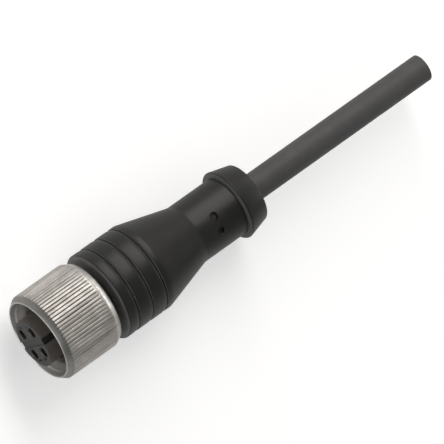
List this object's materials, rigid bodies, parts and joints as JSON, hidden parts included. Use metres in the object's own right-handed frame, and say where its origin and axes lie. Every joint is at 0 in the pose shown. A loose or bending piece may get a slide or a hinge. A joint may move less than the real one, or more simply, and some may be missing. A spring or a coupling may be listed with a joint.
{
  "type": "m12 female cable connector",
  "caption": "Straight moulded female M12 connector: keyed socket insert in a free-turning knurled coupling nut, stepped tapering grip, and a short cut cable.",
  "frame": {"origin": "centre of the contact carrier's front face, which is the mating plane", "axes": "+X runs back from the mating face along the connector and out along its cable; +Z points at the coding groove; the connector lies along X on its grip rings"},
  "size_m": [0.08, 0.015, 0.0151],
  "materials": {
    "nickel_plate": "nickel-plated turned brass, satin",
    "carrier_plastic": "glass-filled polyamide, satin black",
    "gold_plate": "gold-plated turned copper alloy, smooth",
    "seal_rubber": "moulded fluoro rubber, dull black",
    "inner_plastic": "moulded polypropylene, dull black",
    "grip_polymer": "moulded polyurethane, satin black with a fine spark-eroded grain",
    "jacket_polymer": "extruded polyurethane, matt dark grey",
    "brown_insulation": "extruded, satin",
    "white_insulation": "extruded, satin",
    "blue_insulation": "extruded, satin",
    "black_insulation": "extruded, satin",
    "copper": "bare stranded copper, cut"
  },
  "bodies": {
    "plug": {"contact_carrier": "carrier_plastic", "contact_1": "gold_plate", "contact_2": "gold_plate", "contact_3": "gold_plate", "contact_4": "gold_plate", "sealing_ring": "seal_rubber", "inner_mould": "inner_plastic", "grip_body": "grip_polymer", "cable_jacket": "jacket_polymer", "insulation_brown": "brown_insulation", "insulation_white": "white_insulation", "insulation_blue": "blue_insulation", "insulation_black": "black_insulation", "conductor_brown": "copper", "conductor_white": "copper", "conductor_blue": "copper", "conductor_black": "copper"},
    "nut": {"coupling_nut": "nickel_plate"}
  },
  "joints": [
    {"name": "nut_spin", "type": "hinge", "parent": "plug", "child": "nut", "pos_m": [0.0108, 0, 0], "axis": [1, 0, 0], "continuous": true}
  ]
}
